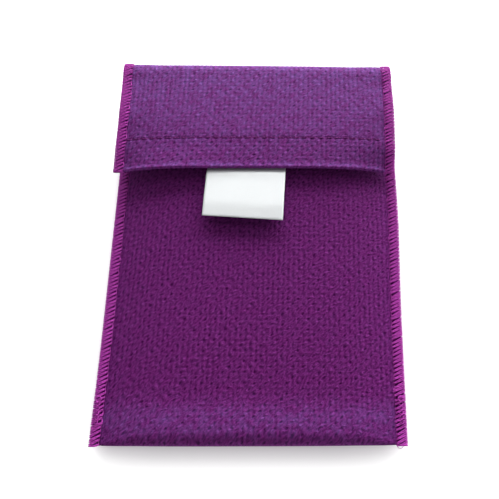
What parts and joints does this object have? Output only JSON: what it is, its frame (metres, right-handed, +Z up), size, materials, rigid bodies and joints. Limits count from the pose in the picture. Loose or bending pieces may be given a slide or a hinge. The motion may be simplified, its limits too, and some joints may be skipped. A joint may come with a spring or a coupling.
{
  "type": "insulin cooling case",
  "caption": "Soft evaporative cooling case: an overlocked cloth cover with a fold-over flap and sewn-in label, holding a removable quilted pouch of cooling crystals.",
  "frame": {"origin": "under the middle of the case, on the surface that its back lies on", "axes": "+X to the right across the width, +Y along the length towards the top fold, +Z up, out of the front"},
  "size_m": [0.14, 0.19, 0.017],
  "materials": {
    "cover_cloth": "matte",
    "overlock_thread": "matte",
    "label_satin": "satin",
    "hook_tape": "matte",
    "loop_tape": "matte",
    "pouch_cloth": "matte",
    "pouch_lining": "matte",
    "crystals": "satin"
  },
  "bodies": {
    "cover": {"cover_cloth": "cover_cloth", "top_fold": "cover_cloth", "fold_edge_left": "overlock_thread", "fold_edge_right": "overlock_thread", "side_seam_left": "overlock_thread", "side_seam_right": "overlock_thread", "loop_tape": "loop_tape"},
    "flap": {"flap_cloth": "cover_cloth", "flap_edge_left": "overlock_thread", "flap_edge_right": "overlock_thread", "hook_tape": "hook_tape", "label_tail": "label_satin"},
    "label": {"label_tab": "label_satin"},
    "pouch": {"pouch_cloth": "pouch_cloth", "pouch_lining": "pouch_lining", "front_crystals_1": "crystals", "front_crystals_2": "crystals", "front_crystals_3": "crystals", "front_crystals_4": "crystals", "back_crystals_1": "crystals", "back_crystals_2": "crystals", "back_crystals_3": "crystals", "back_crystals_4": "crystals", "pouch_seam_left": "overlock_thread", "pouch_seam_right": "overlock_thread", "pouch_mouth_front": "overlock_thread", "pouch_mouth_back": "overlock_thread"}
  },
  "joints": [
    {"name": "flap_hinge", "type": "hinge", "parent": "cover", "child": "flap", "pos_m": [0, 0.091, 0.0085], "axis": [-1, 0, 0], "range_deg": [0, 180], "deforming": ["top_fold", "fold_edge_left", "fold_edge_right"]},
    {"name": "label_lift", "type": "hinge", "parent": "flap", "child": "label", "pos_m": [-0.0052, 0.0318, 0.01449], "axis": [1, 0, 0], "range_deg": [-90, 6]},
    {"name": "pouch_slide", "type": "slide", "parent": "cover", "child": "pouch", "axis": [0, 1, 0], "range_m": [0, 0.265]}
  ]
}
